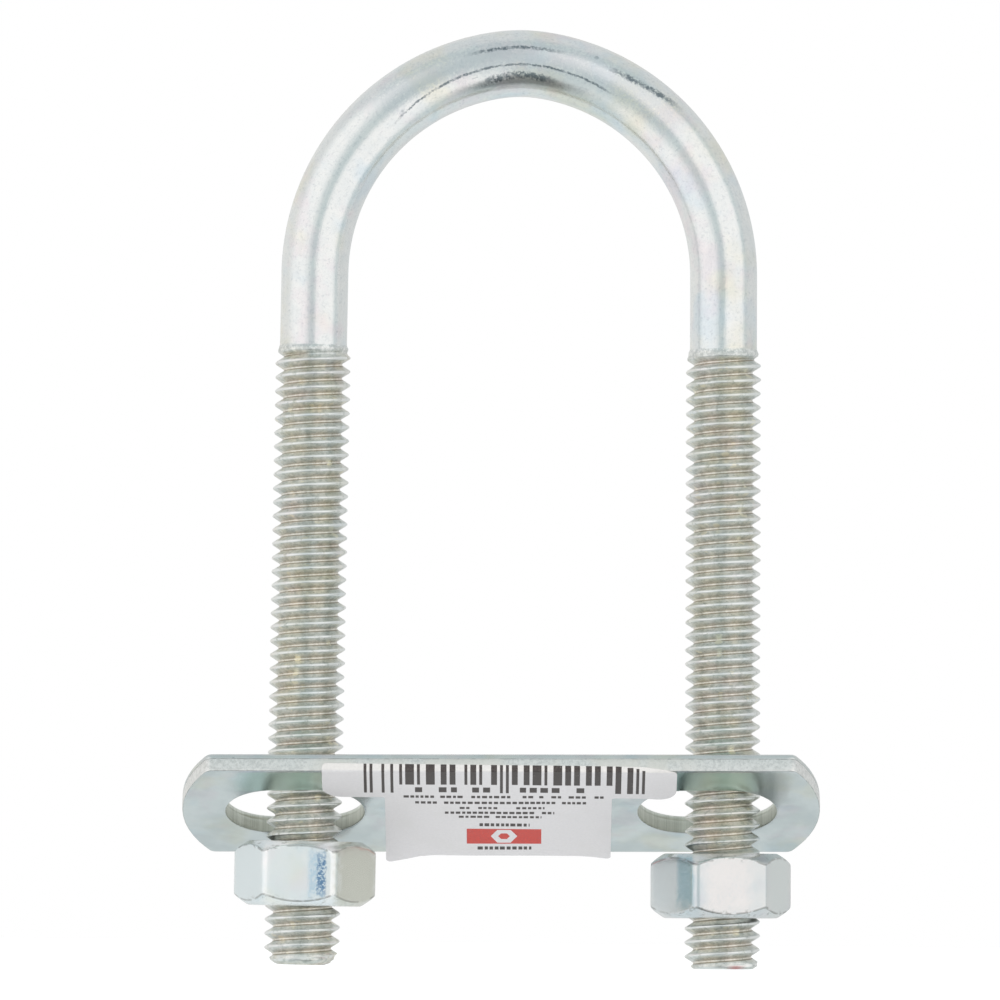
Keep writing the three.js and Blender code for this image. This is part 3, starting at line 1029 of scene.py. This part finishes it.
def zinc_rod():
    n = Nodes(bpy.data.materials.new("zinc_rod"))
    along, outward, backward = n.attributes("along", "outward", "backward")
    crest, flank, end_paint = n.attributes("crest", "flank", "end_paint")
    lengthwise = n.vector(n.times(along, 0.12), n.times(outward, 3.4), n.times(backward, 3.4))

    # smooth shank
    shank = n.blend(n.spots(0.3, 0.7, 1.3, 5, 0.6), (0.865, 0.885, 0.885), (0.93, 0.93, 0.915))
    streak = n.spots(0.52, 0.74, 0.55, 4, 0.55, lengthwise, 1)
    shank = n.paint(shank, (0.66, 0.69, 0.71), streak, 0.22)
    shank = n.blend(n.spots(0.5, 0.7, 0.3, 4, 0.7, seed=37, most=0.6), shank, (0.66, 0.69, 0.71))
    pits = n.step(n.cells(1.9, 4), 0.07, 0.15, 1, 0)
    shank = n.paint(shank, (0.34, 0.38, 0.4), pits, n.spots(0.44, 0.54, 5, 2, 0.55, seed=9), 0.7)
    dash = n.spots(0.735, 0.765, 0.5, 2, 0.5, lengthwise, 14, 0.75)
    shank = n.blend(dash, shank, (0.16, 0.2, 0.24))
    shank = zinc_tint(n, shank, 2)
    jag = n.spots(0.42, 0.72, 0.3, 5, 0.75, seed=17)
    front = n.step(backward, 0.1, -0.1, 0, 0.8)
    # a broad blue-grey painted reflection along the middle of the bend
    painted_grey_reflection = reflection_streak(n, along, outward, jag, 0, 0.2, 0.0004, -15, 17, 0.42)
    shank = n.paint(shank, (0.7, 0.72, 0.76), painted_grey_reflection, 0.5)
    broken_up = n.step(n.noise(0.45, 4, 0.7, seed=51), 0.38, 0.56, 0.35, 1)
    # painted reflections: dark jagged streaks on the front of the bend, broken up by noise
    for streak_numbers in REFLECTION_STREAKS:
        mark = reflection_streak(n, along, outward, jag, *streak_numbers)
        shank = n.paint(shank, (0.08, 0.12, 0.15), mark, front, broken_up)

    # threads: bright crests, partly worn zinc and partly a painted highlight, mottled flanks, tan
    # roots lightened by a painted highlight, and a painted shade line beside each root
    speck = n.spots(0.34, 0.62, 0.5, 5, 0.72, seed=3)
    side = n.blend(speck, (0.6, 0.63, 0.6), (0.885, 0.885, 0.85))
    warm = n.spots(0.46, 0.62, 2.2, 3, 0.5, seed=23, most=0.6)
    side = n.blend(warm, side, n.blend(1, side, (1, 0.96, 0.88), "MULTIPLY"))
    # tan roots, lightened by a painted highlight
    root_tan_and_highlight = n.blend(speck, (0.68, 0.64, 0.57), (0.93, 0.89, 0.81))
    thread = n.blend(n.step(crest, 0.12, 0.04), side, root_tan_and_highlight)
    # painted shade: a dark brown line along one side of each root
    near_root = (n.step(crest, 0.03, 0.06), n.step(crest, 0.24, 0.17))
    under = n.step(flank, 0.05, 0.2, 0, 0.85)
    thread = n.paint(thread, (0.36, 0.31, 0.24), *near_root, under)
    cream = n.step(n.cells(1.3, 8), 0.36, 0.26, 0, 0.85)
    here_and_there = n.spots(0.47, 0.55, 2, 3, seed=27)
    thread = n.paint(thread, (1, 0.95, 0.8), cream, here_and_there)
    thread = n.blend(n.spots(0.64, 0.72, 0.45, 3, seed=41, most=0.6), thread, (0.36, 0.36, 0.33))
    # bright crests: partly rubbed zinc, partly a painted highlight
    worn = n.spots(0.36, 0.5, 0.8, 4, 0.65, seed=5)
    thread = n.paint(thread, (0.95, 0.95, 0.93), n.step(crest, 0.86, 0.95), worn)
    thread = zinc_tint(n, thread, 12, 0.5)
    from_start = n.minus(n.size(along), ARCH_HALF + LEG_LENGTH - THREAD_LENGTH)
    on_thread = n.step(from_start, -0.2, 0.25)
    colour = n.blend(on_thread, shank, thread)

    # the rough lighter collar where the thread begins
    collar = n.times(n.step(from_start, -0.45, -0.1), n.step(from_start, 0.8, 0.4))
    rough_spots = n.noise(0.4, 4, 0.65, seed=31)
    pitted = n.blend(n.step(rough_spots, 0.44, 0.6), (0.66, 0.68, 0.67), (1, 1, 0.98))
    colour = n.paint(colour, pitted, collar, 0.7)
    colour = n.paint(colour, (0.62, 0.22, 0.22), end_paint, 0.8)

    fine = n.noise(0.35, seed=6)
    scratch = n.noise(0.16, 3, 0.5, lengthwise, 8)
    height = n.plus(n.times(fine, 0.6), n.times(scratch, 0.5))
    normal = n.bump(n.times(rough_spots, collar), 0.06, n.bump(height, 0.013))
    roughness = n.plus(n.step(fine, 0.3, 0.7, 0.15, 0.21), n.times(on_thread, 0.16))
    return n.finish(colour, roughness, normal)


def zinc_plate():
    n = Nodes(bpy.data.materials.new("zinc_plate"))
    torn, slot, plate_x, plate_y = n.attributes("torn", "slot", "plate_x", "plate_y")
    cloud = n.spots(0.32, 0.68, 3.5, 4, 0.55)
    colour = n.blend(cloud, (0.645, 0.68, 0.68), (0.745, 0.77, 0.765))
    speck = n.spots(0.58, 0.72, 0.4, seed=4, most=0.25)
    colour = n.blend(speck, colour, (0.6, 0.62, 0.61))
    colour = zinc_tint(n, colour, 21, 0.8)
    colour = n.blend(n.step(n.cells(3.1, 17), 0.08, 0.04, 0, 0.6), colour, (0.4, 0.43, 0.44))
    # painted reflection: a greener tint on the near side of each slot, where the legs are mirrored in
    # the plate
    from_slot = n.size(n.minus(n.size(plate_x), SLOT_SPACING / 2))
    near_side = (n.step(plate_y, -4.4, -5.2), n.step(plate_y, -9.15, -8.95))
    colour = n.paint(colour, (0.64, 0.8, 0.725), n.step(from_slot, 7, 3.5), *near_side, 0.8)

    # the cut edge: rolled over and smooth at the top, then torn and paler
    mottle = n.spots(0.36, 0.6, 0.3, 4, 0.7, seed=8)
    edge = n.blend(mottle, (0.76, 0.76, 0.745), (0.96, 0.95, 0.93))
    near_label = n.step(n.size(plate_x), 21, 17, 0, 0.7)
    residue = n.spots(0.42, 0.56, 5, 3, 0.5, seed=14)
    edge = n.paint(edge, (0.95, 0.91, 0.85), residue, near_label)
    colour = n.blend(torn, colour, edge)
    border = (n.step(torn, 0.1, 0.4), n.step(torn, 0.95, 0.7))
    dotted = n.step(n.spots(0.46, 0.56, 0.7, 3, seed=18), 0, 1, 0.35, 0.8)
    colour = n.paint(colour, (0.34, 0.35, 0.34), *border, dotted)

    # striated walls of the slots
    stripes = n.noise(0.4, 4, 0.65, n.vector(plate_x, plate_y, 0), 5)
    wall = n.blend(n.step(stripes, 0.35, 0.65), (0.62, 0.645, 0.575), (0.8, 0.825, 0.755))
    colour = n.paint(colour, wall, slot, 0.9)

    normal = n.bump(n.noise(0.3, seed=1), 0.007)
    normal = n.bump(n.times(stripes, slot), 0.05, normal)
    rough = n.plus(n.step(cloud, 0, 1, 0.24, 0.17), n.times(torn, 0.2))
    return n.finish(colour, n.plus(rough, n.times(slot, 0.15)), normal)


# patches of colour on each nut's front. The greyer ones on the slanted side faces, about 5 to 6 mm to
# each side, are painted shade, and the right nut's wide pale patch across its front face is a painted
# highlight; the rest are film colour. Each gives the middle and half width across, middle and half
# height up the nut, how much of it is left bare in specks, and the colour
NUT_FILM_AND_PAINTED_SHADING = {
    "left": (
        (-5.8, 1.9, 3.3, 4.5, 0, (0.74, 0.8, 0.82)),
        (5.4, 2.4, 3.3, 4.5, 0, (0.66, 0.66, 0.59)),
        (1.3, 0.9, 3.2, 2.6, 0.5, (0.62, 0.74, 0.84)),
        (1.8, 0.5, 3.2, 2.2, 0.9, (0.16, 0.29, 0.46)),
    ),
    "right": (
        (-5.2, 2.4, 3.3, 4.5, 0, (0.74, 0.78, 0.8)),
        (-3.7, 0.9, 4, 3, 0.2, (0.42, 0.56, 0.62)),
        (0.6, 2.6, 3.3, 3.4, 0.3, (0.86, 0.83, 0.82)),
        (5.8, 1.2, 3.3, 4.5, 0, (0.76, 0.79, 0.78)),
    ),
}
# how bright each nut's zinc is, and how metallic
NUT_BRIGHTNESS = {"left": (0.93, 0.78), "right": (0.8, 0.95)}


def zinc_nut(leg):
    n = Nodes(bpy.data.materials.new("zinc_nut_" + leg.name))
    seed = 2 + leg.side
    wear, near_edge, nut_x, nut_y, nut_z = n.attributes("wear", "edge", "nut_x", "nut_y", "nut_z")
    bright, metallic = NUT_BRIGHTNESS[leg.name]
    base_low = (0.93 * bright, 0.96 * bright, 0.97 * bright)
    cloud = n.spots(0.32, 0.68, 2.6, 4, 0.55, seed=seed)
    colour = n.blend(cloud, base_low, (bright, bright, 0.99 * bright))
    colour = zinc_tint(n, colour, 30 + seed, 0.6)
    wobble = n.times(n.minus(n.noise(0.9, seed=seed + 9), 0.5), 0.8)
    speckle = n.noise(0.22, 3, 0.7, seed=seed + 12)
    front = n.step(nut_y, 1, 0)
    # film colour patches, painted shade on the slanted side faces and a painted highlight on the right
    # nut's front face
    for middle, half, up, half_up, bare, tint in NUT_FILM_AND_PAINTED_SHADING[leg.name]:
        off = n.math("DIVIDE", n.size(n.minus(nut_x, middle)), half)
        off_up = n.math("DIVIDE", n.size(n.minus(nut_z, up)), half_up)
        off = n.plus(n.math("MAXIMUM", off, off_up), wobble)
        covered = n.step(speckle, 0.42, 0.52, 1 - bare, 1)
        colour = n.paint(colour, tint, n.step(off, 1.2, 0.55), front, covered)
    nick = n.spots(0.55, 0.66, 0.5, seed=seed + 2)
    colour = n.paint(colour, (0.42, 0.43, 0.41), nick, wear, 0.7)
    broken = n.spots(0.42, 0.54, 1.1, 3, seed=seed + 6, most=0.5)
    colour = n.paint(colour, (0.22, 0.22, 0.2), n.step(near_edge, 0.55, 0.9), broken)
    normal = n.bump(n.noise(0.35, seed=seed + 5), 0.008)
    return n.finish(colour, n.step(cloud, 0, 1, 0.24, 0.17), normal, metallic)


def label_paper():
    n = Nodes(bpy.data.materials.new("label_paper"))
    under = n.step(*n.attributes("reach"), -0.1, 0.25)
    fibre = n.noise(0.25, 5, 0.65)
    fibres = n.step(fibre, 0.3, 0.7)
    side = n.blend(fibres, (0.595, 0.572, 0.555), (0.66, 0.635, 0.617))
    # painted shade: the same paper, darker where it lies under the plate than on the front edge
    below = n.blend(fibres, (0.515, 0.502, 0.51), (0.555, 0.542, 0.55))
    colour = n.blend(under, side, below)
    colour = n.blend(n.spots(0.52, 0.75, 4, 3, 0.5, seed=3, most=0.3), colour, (0.5, 0.49, 0.48))
    return n.finish(colour, n.step(fibre, 0.3, 0.7, 0.55, 0.7), n.bump(fibre, 0.01), 0)


def label_ink(name, dark, light):
    """Printed ink, fainter where it has rubbed off in specks."""
    n = Nodes(bpy.data.materials.new(name))
    patch = n.spots(0.35, 0.65, 0.2)
    colour = n.blend(patch, dark, light)
    colour = n.blend(n.spots(0.62, 0.72, 0.3, 4, 0.7, seed=6, most=0.35), colour, (0.42, 0.4, 0.39))
    return n.finish(colour, n.step(patch, 0, 1, 0.45, 0.6), None, 0)


# ---- build

rod = build_rod(zinc_rod())
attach(rod, "bolt")
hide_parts("u_bolt")

plate = build_plate(zinc_plate())
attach(plate, "plate")
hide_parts("clamp_plate")

label = build_label(
    label_paper(),
    label_ink("label_dark_ink", (0.038, 0.029, 0.028), (0.07, 0.058, 0.054)),
    label_ink("label_red_ink", (0.40, 0.03, 0.022), (0.50, 0.055, 0.04)),
)
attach(label, "plate")
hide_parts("label")

for leg in LEGS:
    nut = build_nut(leg, zinc_nut(leg))
    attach(nut, "nut_" + leg.name)
    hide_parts("nut_" + leg.name)

# ---- floor, light and camera
FLOOR_DROP = 20
FLOOR_HALF = 3000
FLOOR_GLOW = 0.45
CAMERA_LENS = 354.6
CAMERA_SENSOR = 36
CAMERA_EYE = (-1.71, -1000, -60.41)
CAMERA_TARGET = (-1.71, 0, -22.81)
CAMERA_ROLL = 0.627
# name, place and power of each light, in metres and watts
LIGHTS = (("key_light", (-0.9, -1, 1.2), 9), ("fill_light", (1, -0.8, 1.1), 7))
LIGHT_SIZE = 0.9
LIGHT_TARGET = (0, 0, -0.02)


def aim(place, target):
    return (Vector(target) - Vector(place)).to_track_quat("-Z", "Y")


def build_floor():
    n = Nodes(bpy.data.materials.new("floor_white"))
    n.finish((0.93, 0.93, 0.93), 0.8, None, 0)
    n.fill(n.shader, {"Emission Color": (1, 1, 1), "Emission Strength": FLOOR_GLOW})
    corners = rectangle(-FLOOR_HALF, -FLOOR_HALF, FLOOR_HALF, FLOOR_HALF)
    places = [(*corner, bolt_low.z / MM - FLOOR_DROP) for corner in corners]
    floor = new_piece("floor", places, [(0, 1, 2, 3)], [n.owner])
    floor.visible_glossy = False


def build_world():
    """A light tent: a bright softbox on each side of the viewer, and greyer walls beyond them."""
    world = bpy.data.worlds.new("studio")
    bpy.context.scene.world = world
    n = Nodes(world, "OutputWorld", "Background", "Generated")
    across, away, up = n.new("SeparateXYZ", {0: n.place}).outputs
    front = n.times(away, -1)

    # walls behind: lighter to the left, greyer to the right, above and below
    colour = n.blend(n.step(across, -0.5, 0.5), (0.79, 0.80, 0.79), (0.68, 0.70, 0.70))
    colour = n.blend(n.step(up, 0.2, 0.85), colour, (0.68, 0.71, 0.72))
    colour = n.blend(n.step(up, -0.3, -0.8), colour, (0.72, 0.78, 0.79))
    # the greyer gap at the viewer, with something dark low down in it
    colour = n.blend(n.step(front, -0.1, 0.3), colour, (0.584, 0.656, 0.664))
    low_front = (n.step(front, 0, 0.3), n.step(up, -0.6, -0.85))
    colour = n.paint(colour, (0.2, 0.22, 0.22), *low_front, n.step(n.size(across), 0.4, 0.2))
    # the two softboxes beside the viewer
    right_box = n.times(n.step(across, -0.04, 0.2), n.step(front, 0.17, 0.42))
    left_box = n.times(n.step(across, -0.12, -0.6), n.step(front, -0.25, 0.3))
    level = n.step(n.size(up), 0.9, 0.6)
    boxes = n.math("MAXIMUM", right_box, left_box)
    colour = n.paint(colour, (0.97, 0.975, 0.97), boxes, level)

    camera_ray = n.new("LightPath").outputs["Is Camera Ray"]
    colour = n.blend(camera_ray, colour, (1, 1, 1))
    n.fill(n.shader, {"Color": colour, "Strength": 1})


def build_lights():
    """Large soft lights that mostly light the floor and the paper."""
    for name, place, power in LIGHTS:
        data = bpy.data.lights.new(name, "AREA")
        data.shape = "DISK"
        data.size = LIGHT_SIZE
        data.energy = power
        light = add_object(name, data)
        light.location = place
        light.rotation_euler = aim(place, LIGHT_TARGET).to_euler()
        light.visible_glossy = False


def build_camera():
    data = bpy.data.cameras.new("camera")
    data.lens = CAMERA_LENS
    data.sensor_width = CAMERA_SENSOR
    data.clip_start = 0.05
    data.clip_end = 50
    camera = add_object("camera", data)
    eye = Vector(CAMERA_EYE) * MM
    turn = aim(eye, Vector(CAMERA_TARGET) * MM).to_matrix().to_4x4()
    roll = Matrix.Rotation(radians(CAMERA_ROLL), 4, "Z")
    camera.matrix_world = Matrix.Translation(eye) @ turn @ roll
    bpy.context.scene.camera = camera


build_floor()
build_world()
build_lights()
build_camera()
bpy.context.scene.view_settings.view_transform = "Standard"
